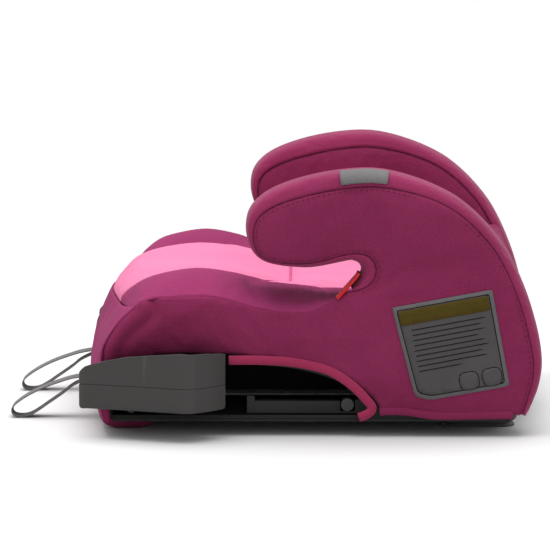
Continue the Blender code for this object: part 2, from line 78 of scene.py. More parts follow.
SEAT_SIDE = [(-0.1660, 0.1190), (-0.1610, 0.1240), (-0.1500, 0.1272), (-0.1350, 0.1285),
             (-0.0960, 0.1290), (-0.0510, 0.1180), (-0.0110, 0.1148), (0.0270, 0.1230),
             (0.1490, 0.1220)]
SEAT_CREST = [(-0.1760, 0.1130), (-0.1690, 0.1217), (-0.1585, 0.1315), (-0.1440, 0.1384),
              (-0.1106, 0.1442), (-0.0800, 0.1392), (-0.0450, 0.1285), (0.0300, 0.1225),
              (0.1490, 0.1225)]
SEAT_EDGE = [(-0.1835, 0.1105), (-0.1805, 0.1175), (-0.1700, 0.1255), (-0.1500, 0.1325),
             (-0.1106, 0.1370), (-0.0700, 0.1335), (-0.0350, 0.1265), (0.0300, 0.1220),
             (0.1490, 0.1220)]
SEAT_MIDDLE = [(-0.1945, 0.1115), (-0.1885, 0.1200), (-0.1760, 0.1275), (-0.1500, 0.1318),
               (-0.1106, 0.1335), (-0.0700, 0.1290), (-0.0350, 0.1225), (0.0300, 0.1185),
               (0.1490, 0.1185)]
SEAT_EDGE_X = 0.1120
CREST_X = 0.1650


# ---------------------------------------------------------------- curve helpers
def smooth(points, per_span=8):
    """Catmull-Rom curve through points of any dimension, ends included."""
    ends = [points[0], *points, points[-1]]
    curve = []
    for i in range(len(points) - 1):
        a, b, c, d = ends[i:i + 4]
        for step in range(per_span):
            t = step / per_span
            curve.append(tuple(
                0.5 * (2 * q + (r - p) * t + (2 * p - 5 * q + 4 * r - s) * t * t
                       + (3 * q - p - 3 * r + s) * t ** 3)
                for p, q, r, s in zip(a, b, c, d)))
    curve.append(tuple(points[-1]))
    return curve


def even(path, step):
    """The path resampled at an even spacing, ends kept."""
    points = [Vector(p) for p in path]
    lengths = [0.0]
    for a, b in zip(points, points[1:]):
        lengths.append(lengths[-1] + (b - a).length)
    count = max(2, round(lengths[-1] / step))
    result = []
    index = 0
    for k in range(count + 1):
        target = lengths[-1] * k / count
        while index < len(lengths) - 2 and lengths[index + 1] < target:
            index += 1
        span = lengths[index + 1] - lengths[index] or 1.0
        result.append(tuple(points[index].lerp(points[index + 1],
                                               (target - lengths[index]) / span)))
    return result


def length_of(path):
    return sum((Vector(b) - Vector(a)).length for a, b in zip(path, path[1:]))


def inset(path, distance):
    """A (y, z) path moved to its right-hand side by a distance."""
    moved = []
    for i, (y, z) in enumerate(path):
        before = path[max(i - 1, 0)]
        after = path[min(i + 1, len(path) - 1)]
        dy, dz = after[0] - before[0], after[1] - before[1]
        length = (dy * dy + dz * dz) ** 0.5 or 1.0
        moved.append((y + dz / length * distance, z - dy / length * distance))
    return moved


def steps(value, low, high):
    """0 below low, 1 above high, smooth between."""
    t = min(max((value - low) / (high - low), 0.0), 1.0)
    return t * t * (3 - 2 * t)


def nearness(points):
    """A function that gives the distance from a point to the nearest of these."""
    tree = kdtree.KDTree(len(points))
    for i, point in enumerate(points):
        tree.insert(Vector(point).to_3d(), i)
    tree.balance()
    return lambda point: tree.find(Vector(point).to_3d())[2]


# ---------------------------------------------------------------- mesh helpers
def piece(name, verts, faces, material, smooth_shade=True):
    mesh = bpy.data.meshes.new(name)
    mesh.from_pydata([tuple(v) for v in verts], [], faces)
    mesh.materials.append(material)
    mesh.update()
    if smooth_shade:
        mesh.shade_smooth()
    obj = bpy.data.objects.new(name, mesh)
    bpy.context.scene.collection.objects.link(obj)
    return obj


def place(obj, body, slot, *nodes):
    """The piece rides on a body and stands for CAD nodes, which are hidden; its slot is not
    used.
    """
    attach(obj, body)
    if nodes:
        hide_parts(*nodes)
    return obj


def closed_normals(obj):
    bm = bmesh.new()
    bm.from_mesh(obj.data)
    bmesh.ops.recalc_face_normals(bm, faces=bm.faces)
    bm.to_mesh(obj.data)
    bm.free()
    return obj


def grid_faces(rows, columns, flip=False, closed=False):
    faces = []
    for i in range(rows - 1):
        for j in range(columns if closed else columns - 1):
            a, b = i * columns + j, i * columns + (j + 1) % columns
            c, d = a + columns, b + columns
            faces.append((a, c, d, b) if flip else (a, b, d, c))
    return faces


def sweep(name, path, section, x, sign, material):
    """A tube with a (in-plane, outward) section along a (y, z) path at a given x."""
    rings = []
    for i, (y, z) in enumerate(path):
        before = path[max(i - 1, 0)]
        after = path[min(i + 1, len(path) - 1)]
        dy, dz = after[0] - before[0], after[1] - before[1]
        length = (dy * dy + dz * dz) ** 0.5 or 1.0
        ny, nz = dz / length, -dy / length
        rings += [(sign * (x + b), y + ny * a, z + nz * a) for a, b in section]
    count = len(section)
    faces = grid_faces(len(path), count, closed=True)
    faces.append(tuple(range(count)))
    faces.append(tuple(reversed(range(len(rings) - count, len(rings)))))
    return closed_normals(piece(name, rings, faces, material))


def rounded_section(width, height, exponent=0.6, count=16):
    """Superellipse section centred on the origin."""
    section = []
    for i in range(count):
        angle = 2 * pi * i / count
        c, s = cos(angle), sin(angle)
        section.append((width / 2 * abs(c) ** exponent * (1 if c > 0 else -1),
                        height / 2 * abs(s) ** exponent * (1 if s > 0 else -1)))
    return section


THREAD_SIDES = 6
# each stitch: place along its length, share of its full radius
THREAD_RINGS = ((0.0, 0.35), (0.2, 1.0), (0.8, 1.0), (1.0, 0.35))


def thread_run(name, points, normals, material, length=0.0028, gap=0.0016, radius=0.00028):
    """A row of stitches that lie along a seam, as short rounded threads in one mesh."""
    verts, faces = [], []
    travelled, start = 0.0, 0.0
    for i in range(len(points) - 1):
        a, b = Vector(points[i]), Vector(points[i + 1])
        step = (b - a).length
        if travelled - start >= length + gap:
            start = travelled
            direction = (b - a).normalized()
            up = Vector(normals[i]).normalized()
            side = direction.cross(up).normalized()
            first = len(verts)
            for along, size in THREAD_RINGS:
                centre = a + direction * length * along + up * radius * 0.4
                for k in range(THREAD_SIDES):
                    angle = 2 * pi * k / THREAD_SIDES
                    verts.append(centre + (side * cos(angle) * 1.3 + up * sin(angle))
                                 * radius * size)
            last = len(verts) - THREAD_SIDES
            faces += [tuple(first + n for n in face)
                      for face in grid_faces(len(THREAD_RINGS), THREAD_SIDES, closed=True)]
            faces.append(tuple(first + k for k in range(THREAD_SIDES)))
            faces.append(tuple(last + k for k in reversed(range(THREAD_SIDES))))
        travelled += step
    return closed_normals(piece(name, verts, faces, material))


def puff_out(obj, seams, height, reach):
    """Padding: each point stands out along its normal, less so close to a seam."""
    distance = nearness(seams)
    mesh = obj.data
    normals = [v.normal.copy() for v in mesh.vertices]
    for vert, normal in zip(mesh.vertices, normals):
        rise = height * (1 - exp(-distance(vert.co) / reach))
        vert.co += normal * rise
    mesh.update()


SOFT = []
HELD_REACH = 0.0012          # points this near to a seam don't move
SETTLING_FRAMES = 20


def soften(obj, seams, pressure, slack, cap):
    """Queues a cover for the cloth simulation, held along its seams."""
    group = obj.vertex_groups.new(name="held")
    distance = nearness(seams)
    for vert in obj.data.vertices:
        if distance(vert.co) < HELD_REACH:
            group.add([vert.index], 1.0, "REPLACE")
    SOFT.append((obj, pressure, slack, cap))


def simulate():
    """All queued covers swell under pressure together, then keep the result."""
    if not SOFT:
        return
    for obj, pressure, slack, _ in SOFT:
        cloth = obj.modifiers.new("cloth", "CLOTH")
        settings = cloth.settings
        settings.quality = 6
        settings.mass = 0.2
        settings.tension_stiffness = 25
        settings.compression_stiffness = 25
        settings.shear_stiffness = 10
        settings.bending_stiffness = 0.6
        settings.vertex_group_mass = "held"
        settings.use_pressure = True
        settings.uniform_pressure_force = pressure
        settings.shrink_min = -slack
        settings.effector_weights.gravity = 0.0
        cloth.collision_settings.use_collision = False
    for number in range(1, SETTLING_FRAMES + 1):
        bpy.context.scene.frame_set(number)
    depsgraph = bpy.context.evaluated_depsgraph_get()
    for obj, _, _, cap in SOFT:
        settled = [v.co.copy() for v in obj.evaluated_get(depsgraph).data.vertices]
        obj.modifiers.remove(obj.modifiers["cloth"])
        for vert, end in zip(obj.data.vertices, settled):
            move = end - vert.co
            if move.length > cap:
                move *= cap / move.length
            vert.co += move
        obj.data.update()
    bpy.context.scene.frame_set(1)


def thicken(obj, thickness=0.0016):
    modifier = obj.modifiers.new("cloth_thickness", "SOLIDIFY")
    modifier.thickness = thickness
    modifier.offset = -1.0
    return obj


def stiffen(obj, thickness):
    """A flat tab gets its thickness on both sides of its sheet."""
    modifier = obj.modifiers.new("thickness", "SOLIDIFY")
    modifier.thickness = thickness
    modifier.offset = 0.0


# ---------------------------------------------------------------- materials
def shader_of(name):
    material = bpy.data.materials.new(name)
    material.use_nodes = True
    tree = material.node_tree
    return material, tree, tree.nodes["Principled BSDF"]


def texture(tree, kind, values):
    """A texture of this kind over the object's own coordinates."""
    node = tree.nodes.new("ShaderNodeTex" + kind)
    for socket, value in values.items():
        node.inputs[socket].default_value = value
    coords = tree.nodes.new("ShaderNodeTexCoord")
    tree.links.new(coords.outputs["Object"], node.inputs["Vector"])
    return node


def combined(tree, operation, first, second):
    """The sum or product of two outputs."""
    node = tree.nodes.new("ShaderNodeMath")
    node.operation = operation
    tree.links.new(first, node.inputs[0])
    tree.links.new(second, node.inputs[1])
    return node.outputs["Value"]


def raise_surface(tree, shader, height, strength, distance):
    """Fine relief that follows an output."""
    bump = tree.nodes.new("ShaderNodeBump")
    bump.inputs["Strength"].default_value = strength
    bump.inputs["Distance"].default_value = distance
    tree.links.new(height, bump.inputs["Height"])
    tree.links.new(bump.outputs["Normal"], shader.inputs["Normal"])


def vary_gloss(tree, shader, source, low, high):
    """Roughness that runs from low to high with an output."""
    rough = tree.nodes.new("ShaderNodeMapRange")
    rough.inputs["To Min"].default_value = low
    rough.inputs["To Max"].default_value = high
    tree.links.new(source, rough.inputs["Value"])
    tree.links.new(rough.outputs["Result"], shader.inputs["Roughness"])


def vary_colour(tree, shader, source, colours, levels=(0.0, 1.0)):
    """Colour that runs from the first to the second between two levels of an output."""
    ramp = tree.nodes.new("ShaderNodeValToRGB")
    for element, colour, level in zip(ramp.color_ramp.elements, colours, levels):
        element.position = level
        element.color = (*colour, 1.0)
    tree.links.new(source, ramp.inputs["Fac"])
    tree.links.new(ramp.outputs["Color"], shader.inputs["Base Color"])


def rib_scale(width):
    """Scale of a wave texture whose bands are this wide."""
    return 2 * pi / (20 * width)


def fabric(name, colour, deep, sheen=0.18, thread=0.0011, strength=0.35):
    """Knitted seat cloth: fine ribs on every axis, heathered colour and soft sheen."""
    material, tree, shader = shader_of(name)
    ribs = []
    for axis in "XYZ":
        wave = texture(tree, "Wave", {"Scale": rib_scale(thread), "Distortion": 0.6,
                                      "Detail": 1.0, "Detail Scale": 1.5})
        wave.bands_direction = axis
        ribs.append(wave.outputs["Fac"])
    height = combined(tree, "ADD", combined(tree, "ADD", ribs[0], ribs[1]), ribs[2])
    raise_surface(tree, shader, height, strength, 0.00035)
    fine = texture(tree, "Noise", {"Scale": 900.0, "Detail": 2.0}).outputs["Fac"]
    broad = texture(tree, "Noise", {"Scale": 9.0, "Detail": 4.0}).outputs["Fac"]
    blend = tree.nodes.new("ShaderNodeMix")
    blend.inputs[0].default_value = 0.45
    tree.links.new(fine, blend.inputs[2])
    tree.links.new(broad, blend.inputs[3])
    vary_colour(tree, shader, blend.outputs[0], (deep, colour), (0.36, 0.60))
    vary_gloss(tree, shader, fine, 0.74, 0.94)
    shader.inputs["Sheen Weight"].default_value = sheen
    shader.inputs["Sheen Roughness"].default_value = 0.45
    shader.inputs["Specular IOR Level"].default_value = 0.05
    return material


def plastic(name, colour, rough_low, rough_high, grain=700.0, strength=0.12, wear=0.02):
    """Moulded plastic: spark-eroded grain, uneven gloss and paler worn edges."""
    material, tree, shader = shader_of(name)
    grains = texture(tree, "Voronoi", {"Scale": grain})
    raise_surface(tree, shader, grains.outputs["Distance"], strength, 0.0002)
    patches = texture(tree, "Noise", {"Scale": 26.0, "Detail": 5.0})
    vary_gloss(tree, shader, patches.outputs["Fac"], rough_low, rough_high)
    geometry = tree.nodes.new("ShaderNodeNewGeometry")
    worn = [min(c + wear, 1.0) for c in colour]
    vary_colour(tree, shader, geometry.outputs["Pointiness"], (colour, worn), (0.50, 0.62))
    shader.inputs["Specular IOR Level"].default_value = 0.14
    return material


def metal(name, colour, roughness):
    """Plated steel with fine brushing and a few darker spots."""
    material, tree, shader = shader_of(name)
    scratches = texture(tree, "Noise", {"Scale": 300.0, "Detail": 6.0}).outputs["Fac"]
    vary_gloss(tree, shader, scratches, roughness - 0.10, roughness + 0.15)
    vary_colour(tree, shader, scratches, ([c * 0.7 for c in colour], colour))
    shader.inputs["Metallic"].default_value = 1.0
    return material


def webbing(name, light, dark, rib=0.0016):
    """Woven tape: ribs across its length and pale and dark threads mixed."""
    material, tree, shader = shader_of(name)
    ribs = texture(tree, "Wave", {"Scale": rib_scale(rib), "Distortion": 0.4})
    ribs.bands_direction = "Y"
    warp = texture(tree, "Wave", {"Scale": rib_scale(rib * 0.8)})
    height = combined(tree, "MULTIPLY", ribs.outputs["Fac"], warp.outputs["Fac"])
    raise_surface(tree, shader, height, 0.6, 0.0004)
    flecks = texture(tree, "Noise", {"Scale": 1400.0})
    vary_colour(tree, shader, flecks.outputs["Fac"], (dark, light), (0.40, 0.62))
    shader.inputs["Roughness"].default_value = 0.85
    shader.inputs["Sheen Weight"].default_value = 0.15
    return material


SIDE_CLOTH = fabric("side_cloth", (0.196, 0.0210, 0.072), (0.150, 0.0140, 0.053),
                    sheen=0.03)
BAND_CLOTH = fabric("band_cloth", (0.230, 0.0230, 0.082), (0.182, 0.0165, 0.062),
                    sheen=0.12)
BOLSTER_CLOTH = fabric("bolster_cloth", (0.250, 0.0290, 0.105), (0.200, 0.0215, 0.083),
                       sheen=0.02)
PINK_CLOTH = fabric("pink_cloth", (0.620, 0.180, 0.320), (0.580, 0.150, 0.285),
                    sheen=0.03)
TRIM_CLOTH = fabric("trim_cloth", (0.285, 0.0270, 0.078), (0.220, 0.0190, 0.058),
                    sheen=0.10, thread=0.0009)
THREAD = fabric("thread", (0.160, 0.0160, 0.058), (0.110, 0.0100, 0.038),
                sheen=0.05, thread=0.0004)
PINK_THREAD = fabric("pink_thread", (0.560, 0.100, 0.250), (0.450, 0.070, 0.190),
                     sheen=0.05, thread=0.0004)
CUP_PLASTIC = plastic("cup_plastic", (0.040, 0.038, 0.037), 0.45, 0.60)
SHELL_PLASTIC = plastic("shell_plastic", (0.0085, 0.0072, 0.0070), 0.55, 0.70)
FRAME_PLASTIC = plastic("frame_plastic", (0.140, 0.140, 0.145), 0.50, 0.70)
FOOT_PLASTIC = plastic("foot_plastic", (0.060, 0.057, 0.058), 0.55, 0.75)
RED_PLASTIC = plastic("red_plastic", (0.420, 0.0060, 0.014), 0.60, 0.72,
                      grain=500.0, strength=0.05)
STEEL = metal("plated_steel", (0.56, 0.56, 0.57), 0.32)
STRAP_WEB = webbing("strap_webbing", (0.120, 0.117, 0.117), (0.042, 0.041, 0.041))
ANCHOR_WEB = webbing("anchor_webbing", (0.330, 0.335, 0.345), (0.180, 0.182, 0.190))
LABEL_GREY = fabric("label_grey", (0.070, 0.066, 0.068), (0.058, 0.055, 0.057),
                    sheen=0.02, thread=0.0005, strength=0.15)
LABEL_OLIVE = fabric("label_olive", (0.064, 0.046, 0.0085), (0.052, 0.037, 0.0065),
                    sheen=0.02, thread=0.0005, strength=0.15)
LABEL_DARK = fabric("label_dark", (0.012, 0.011, 0.011), (0.008, 0.007, 0.007),
                    sheen=0.0, thread=0.0005, strength=0.1)
LABEL_PALE = fabric("label_pale", (0.110, 0.104, 0.107), (0.092, 0.087, 0.090),
                    sheen=0.0, thread=0.0005, strength=0.1)
TAB_GREY = fabric("tab_grey", (0.150, 0.142, 0.146), (0.118, 0.112, 0.116),
                  sheen=0.1, thread=0.0006, strength=0.5)


# ---------------------------------------------------------------- camera
CAMERA_PLACE = Vector((4.64, -0.008, 0.6965))
CAMERA_PITCH = radians(7.05)
CAMERA_YAW = radians(0.405)
LENS = 321.8


def camera():
    data = bpy.data.cameras.new("camera")
    data.lens = LENS
    data.sensor_width = 36.0
    data.clip_end = 50.0
    obj = bpy.data.objects.new("camera", data)
    forward = Vector((-cos(CAMERA_PITCH) * cos(CAMERA_YAW),
                      -cos(CAMERA_PITCH) * sin(CAMERA_YAW), -sin(CAMERA_PITCH)))
    right = forward.cross(Vector((0, 0, 1))).normalized()
    up = right.cross(forward)
    turn = Matrix((right, up, -forward)).transposed().to_4x4()
    obj.matrix_world = Matrix.Translation(CAMERA_PLACE) @ turn
    bpy.context.scene.collection.objects.link(obj)
    bpy.context.scene.camera = obj


# ---------------------------------------------------------------- pull loops
STRAP_WIDTH = 0.0220
STRAP_THICK = 0.0014
LATCH_X = 0.0870


def pull_loop(sign, side):
    route = even(smooth(STRAP_ROUTE), 0.0022)
    section = rounded_section(STRAP_THICK, STRAP_WIDTH, 0.35, 20)
    strap = sweep(f"pull_loop_{side}", route, section, LATCH_X, sign, STRAP_WEB)
    path = [(sign * LATCH_X, y, z) for y, z in route]
    place(strap, "seat", "webbing", f"pull_strap_{side}")
    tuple(path[0])
    round(length_of(path), 3)


# ---------------------------------------------------------------- seat and front covers
LINE_STEP = 0.002
CURVE_STEP = 0.0005


def station_sheet(name, stations, step, material, flip=False):
    """A cover through stations [(x, [(y, z), ...]), ...] that run front to rear."""
    lines = []
    for x, profile in stations:
        lines.append(even([(x, y, z) for y, z in smooth(profile)], LINE_STEP))
    rows = max(2, round(max(len(line) for line in lines) * LINE_STEP / step))
    curves = [smooth([line[round(r / rows * (len(line) - 1))] for line in lines])
              for r in range(rows + 1)]
    columns = round(length_of(curves[0]) / step)
    grid = []
    for curve in curves:
        spaced = even(curve, CURVE_STEP)
        grid.append([spaced[round(c / columns * (len(spaced) - 1))]
                     for c in range(columns + 1)])
    verts = [point for row in grid for point in row]
    faces = grid_faces(rows + 1, columns + 1, flip)
    return piece(name, verts, faces, material), grid


def border(grid):
    return grid[0] + grid[-1] + [row[0] for row in grid] + [row[-1] for row in grid]


def mirrored(stations, sign):
    return [(sign * x, profile) for x, profile in stations]


CROSS_SEAM_Y = -0.026
CROSS_SEAM_BEND = 0.024      # its ends run this much further forwards
CROSS_SEAM_TURN = (0.070, 0.108)


def cross_seam(grid):
    """The seam over the seat centre: straight in the middle, forwards near its sides."""
    seam = []
    for row_index in range(len(grid) - 1):
        for a, b in zip(grid[row_index], grid[row_index + 1]):
            line = CROSS_SEAM_Y - CROSS_SEAM_BEND * steps(abs(a[0]), *CROSS_SEAM_TURN)
            if (a[1] - line) * (b[1] - line) <= 0:
                seam.append(tuple(Vector(a).lerp(Vector(b), (line - a[1]) / (b[1] - a[1]))))
    return sorted(seam)


def seat_cover():
    stations = [(-SEAT_EDGE_X, SEAT_EDGE), (0.0, SEAT_MIDDLE), (SEAT_EDGE_X, SEAT_EDGE)]
    cover, grid = station_sheet("seat_centre_cover", stations, 0.0030, PINK_CLOTH)
    seam = cross_seam(grid)
    puff_out(cover, border(grid) + seam, height=0.0038, reach=0.0060)
    soften(cover, border(grid) + seam, pressure=1.6, slack=0.010, cap=0.0028)
    place(thicken(cover), "seat", "pink_fabric", "seat_pad")
    line = [(x, y, z + 0.0017) for x, y, z in even(smooth(seam[::2]), 0.0004)]
    run = thread_run("centre_cross_seam", line, [(0, 0, 1)] * len(line), PINK_THREAD,
                     length=0.0034, gap=0.0001, radius=0.0007)
    place(run, "seat", "pink_fabric")


def bolster_cover(sign, side):
    stations = mirrored([(SEAT_EDGE_X, SEAT_EDGE), (CREST_X, SEAT_CREST),
                         (SEAM_X, SEAT_SIDE)], sign)
    cover, grid = station_sheet(f"bolster_cover_{side}", stations, 0.0030, BOLSTER_CLOTH,
                                sign < 0)
    puff_out(cover, border(grid), height=0.0030, reach=0.0070)
    soften(cover, border(grid), pressure=1.6, slack=0.008, cap=0.0025)
    place(thicken(cover), "seat", "band_fabric", f"seat_bolster_{side}")
    return grid


FRONT_MIDDLE = [(-0.2050, 0.0130), (-0.2115, 0.0300), (-0.2134, 0.0500), (-0.2112, 0.0650),
                (-0.2085, 0.0800), (-0.2010, 0.0980), (-0.1945, 0.1115)]
FRONT_QUARTER = [(-0.2025, 0.0130), (-0.2085, 0.0300), (-0.2100, 0.0500), (-0.2070, 0.0650),
                 (-0.2035, 0.0800), (-0.1945, 0.0970), (-0.1835, 0.1105)]
FRONT_OUTER = [(-0.1995, 0.0130), (-0.2050, 0.0300), (-0.2065, 0.0500), (-0.2035, 0.0660),
               (-0.1995, 0.0820), (-0.1900, 0.0990), (-0.1760, 0.1130)]


def front_cover():
    stations = [(-SEAM_X, FRONT_EDGE), (-CREST_X, FRONT_OUTER), (-SEAT_EDGE_X, FRONT_QUARTER),
                (0.0, FRONT_MIDDLE), (SEAT_EDGE_X, FRONT_QUARTER), (CREST_X, FRONT_OUTER),
                (SEAM_X, FRONT_EDGE)]
    cover, grid = station_sheet("front_cover", stations, 0.0035, BOLSTER_CLOTH, True)
    puff_out(cover, border(grid), height=0.0015, reach=0.0060)
    soften(cover, border(grid), pressure=0.8, slack=0.006, cap=0.0015)
    place(thicken(cover), "seat", "side_fabric", "front_panel")
    return cover


REAR_SIDE = [(0.1965, 0.0600), (0.1980, 0.0800), (0.1915, 0.1100), (0.1840, 0.1330),
             (0.1766, 0.1496), (0.1685, 0.1520), (0.1560, 0.1512)]
REAR_MIDDLE = [(0.2050, 0.0600), (0.2030, 0.0800), (0.1945, 0.1050), (0.1870, 0.1270),
               (0.1790, 0.1480), (0.1700, 0.1522), (0.1560, 0.1512)]


def rear_cover():
    half = ARM_PAD_X - 0.0010
    stations = [(-half, REAR_SIDE), (0.0, REAR_MIDDLE), (half, REAR_SIDE)]
    cover, grid = station_sheet("rear_cover", stations, 0.0040, SIDE_CLOTH)
    puff_out(cover, border(grid), height=0.0020, reach=0.0100)
    soften(cover, border(grid), pressure=0.8, slack=0.006, cap=0.0020)
    place(thicken(cover), "seat", "side_fabric", "rear_panel")
    face = [(0.1560, 0.1505), (0.1490, 0.1420), (0.1480, 0.1300), (0.1500, 0.1170)]
    centre = [(0.1560, 0.1530), (0.1480, 0.1440), (0.1465, 0.1300), (0.1490, 0.1170)]
    pad, grid = station_sheet("back_cushion", [(-half, face), (0.0, centre), (half, face)],
                              0.0040, BAND_CLOTH)
    puff_out(pad, border(grid), height=0.0030, reach=0.0080)
    soften(pad, border(grid), pressure=1.2, slack=0.008, cap=0.0025)
    place(thicken(pad), "seat", "band_fabric", "back_pad")


# ---------------------------------------------------------------- arms
ARM_LINE = even(smooth(NOTCH_AND_ARM), 0.0030)
ARM_PATH = [(y, z) for y, z, _ in ARM_LINE]


def band_normal(index):
    before = ARM_PATH[max(index - 1, 0)]
    after = ARM_PATH[min(index + 1, len(ARM_PATH) - 1)]
    dy, dz = after[0] - before[0], after[1] - before[1]
    length = (dy * dy + dz * dz) ** 0.5
    return dz / length, -dy / length


def band_point(index, turn):
    """A point of the padded band: along the arm's edge, then across from seam to seam."""
    (y, z, seam), (ny, nz) = ARM_LINE[index], band_normal(index)
    c, s = cos(pi * turn), sin(pi * turn)
    x = ARM_MIDDLE + ARM_HALF * abs(c) ** 0.6 * (1 if c > 0 else -1)
    depth = seam * (1 - max(s, 0.0) ** 0.75)
    return x, y + ny * depth, z + nz * depth


def arm_seam(extra=0.0):
    """The seam between the band and the side cover, or a line beside it."""
    line = []
    for index, (y, z, seam) in enumerate(ARM_LINE):
        ny, nz = band_normal(index)
        line.append((y + ny * (seam + extra), z + nz * (seam + extra)))
    return line


def arm_band(sign, side):
    across = 22
    verts = []
    for index in range(len(ARM_PATH)):
        for k in range(across + 1):
            x, y, z = band_point(index, k / across)
            verts.append((sign * x, y, z))
    faces = grid_faces(len(ARM_PATH), across + 1, sign > 0)
    band = piece(f"band_cover_{side}", verts, faces, BAND_CLOTH)
    rows = [verts[i * (across + 1):(i + 1) * (across + 1)] for i in range(len(ARM_PATH))]
    soften(band, border(rows), pressure=0.7, slack=0.006, cap=0.0012)
    place(thicken(band), "seat", "band_fabric", f"arm_band_{side}")


def inside(outline, y, z):
    """Whether a point lies within a closed (y, z) outline."""
    hit = False
    for (y0, z0), (y1, z1) in zip(outline, outline[1:] + outline[:1]):
        if (z0 > z) != (z1 > z) and y < y0 + (z - z0) / (z1 - z0) * (y1 - y0):
            hit = not hit
    return hit


def filled(outline, step):
    """Points and triangles that fill a closed outline, with its border first."""
    edge = even(outline + outline[:1], step)[:-1]
    distance = nearness([(y, z, 0.0) for y, z in edge])
    low_y, high_y = min(p[0] for p in edge), max(p[0] for p in edge)
    low_z, high_z = min(p[1] for p in edge), max(p[1] for p in edge)
    points = list(edge)
    row = 0
    z = low_z
    while z < high_z:
        y = low_y + (step / 2 if row % 2 else 0.0)
        while y < high_y:
            if distance((y, z, 0.0)) > 0.6 * step and inside(edge, y, z):
                points.append((y, z))
            y += step
        z += step * 0.87
        row += 1
    ring = [(i, (i + 1) % len(edge)) for i in range(len(edge))]
    result = delaunay_2d_cdt([Vector(p) for p in points], ring, [], 1, 1e-7)
    return edge, [tuple(v) for v in result[0]], [tuple(f) for f in result[2]]


def cover_sheet(name, outline, x_at, facing, material, step=0.0036):
    """A flat-sewn cover: a filled outline whose x comes from a function of (y, z)."""
    edge, points, triangles = filled(outline, step)
    verts = [(x_at(y, z), y, z) for y, z in points]
    faces = []
    for a, b, c in triangles:
        (ya, za), (yb, zb), (yc, zc) = points[a], points[b], points[c]
        ahead = (yb - ya) * (zc - za) - (zb - za) * (yc - ya) > 0
        faces.append((a, b, c) if ahead == (facing > 0) else (a, c, b))
    return piece(name, verts, faces, material), [(x_at(y, z), y, z) for y, z in edge]


BAY_EDGE = [(-0.0760, 0.0745), (-0.0850, 0.0762), (-0.1200, 0.0758), (-0.1500, 0.0735),
            (-0.1700, 0.0712), (-0.1860, 0.0680), (-0.1900, 0.0640)]
HEM = [(0.0560, 0.0236), (0.0640, 0.0240), (0.0807, 0.0236), (0.1080, 0.0198),
       (0.1500, 0.0202), (0.1844, 0.0206)]
GUIDE_EDGE = [(-0.0010, 0.1174), (0.0060, 0.1215), (0.0125, 0.1252), (0.0175, 0.1278),
              (0.0225, 0.1312), (0.0262, 0.1345)]
BAY_FOOT = (-0.1900, 0.0130)
ARCH_MARGIN = 0.0072         # the binding covers this much of the side cover's edge


def side_outline():
    """The side cover's edge: arm seam, hem, arch, holder bay, front and bolster seam."""
    outline = arm_seam() + HEM[::-1]
    outline += inset(smooth(ARCH), ARCH_MARGIN)[4:-3]
    outline += BAY_EDGE + [BAY_FOOT]
    outline += smooth(FRONT_EDGE)
    outline += smooth(SEAT_SIDE[:8])[1:-8]
    return outline + GUIDE_EDGE


# height, distance from the front edge and width of the two folds beside that edge
ROLL = (0.0022, 0.0070, 0.0042)
CREASE = (0.0026, 0.0165, 0.0040)
BAY_SINK = (0.0050, 0.0120)  # how deep the cover sinks at the bay, and over what distance
RIPPLE = 0.0007
RIPPLE_SCALE = 14.0
EDGE_STEP = 0.001


def bump_at(distance, shape):
    height, middle, width = shape
    return height * exp(-((distance - middle) / width) ** 2)


def side_cover(sign, side):
    front = nearness([(y, z, 0.0) for y, z in even(smooth(FRONT_EDGE), EDGE_STEP)])
    bay = nearness([(y, z, 0.0) for y, z in even(BAY_EDGE, EDGE_STEP)])

    def x_at(y, z):
        spot = (y, z, 0.0)
        roll = bump_at(front(spot), ROLL)
        crease = bump_at(front(spot), CREASE)
        hollow = BAY_SINK[0] * exp(-bay(spot) / BAY_SINK[1])
        ripple = noise.noise(Vector((y * RIPPLE_SCALE, z * RIPPLE_SCALE, 3.0 * sign)))
        return sign * (SEAM_X + roll - crease - hollow + RIPPLE * ripple)

    outline = side_outline()
    cover, edge = cover_sheet(f"side_cover_{side}", outline, x_at, sign, SIDE_CLOTH)
    puff_out(cover, edge, height=0.0038, reach=0.0085)
    soften(cover, edge, pressure=0.6, slack=0.006, cap=0.0016)
    place(thicken(cover), "seat", "side_fabric", f"side_panel_{side}")
    return cover


ARM_PAD_LOW = 0.1215
ARM_PAD_FRONT = 0.0300


def arm_pad(sign, side):
    """Inner face of the arm, down to the seat bolster."""
    path = arm_seam()
    crest = max(range(len(path)), key=lambda i: path[i][1])
    end = next(i for i in range(crest, len(path)) if path[i][1] < ARM_PAD_LOW)
    outline = path[:end] + [(path[end - 1][0], ARM_PAD_LOW), (ARM_PAD_FRONT, ARM_PAD_LOW)]
    pad, edge = cover_sheet(f"arm_pad_cover_{side}", outline,
                            lambda y, z: sign * ARM_PAD_X, -sign, SIDE_CLOTH)
    puff_out(pad, edge, height=0.0040, reach=0.0090)
    soften(pad, edge, pressure=0.8, slack=0.006, cap=0.0018)
    place(thicken(pad), "seat", "band_fabric", f"arm_pad_{side}")


STITCH_INSET = 0.0034
STITCH_LIFT = 0.0021
STITCH_STEP = 0.0007


def seam_stitches(sign, side):
    """Top-stitching beside the arm seam, on the side cover."""
    path = even(arm_seam(STITCH_INSET), STITCH_STEP)
    spot = [(sign * (SEAM_X + STITCH_LIFT), y, z) for y, z in path]
    run = thread_run(f"side_stitches_{side}", spot, [(sign, 0, 0)] * len(spot), THREAD)
    place(run, "seat", "side_fabric")


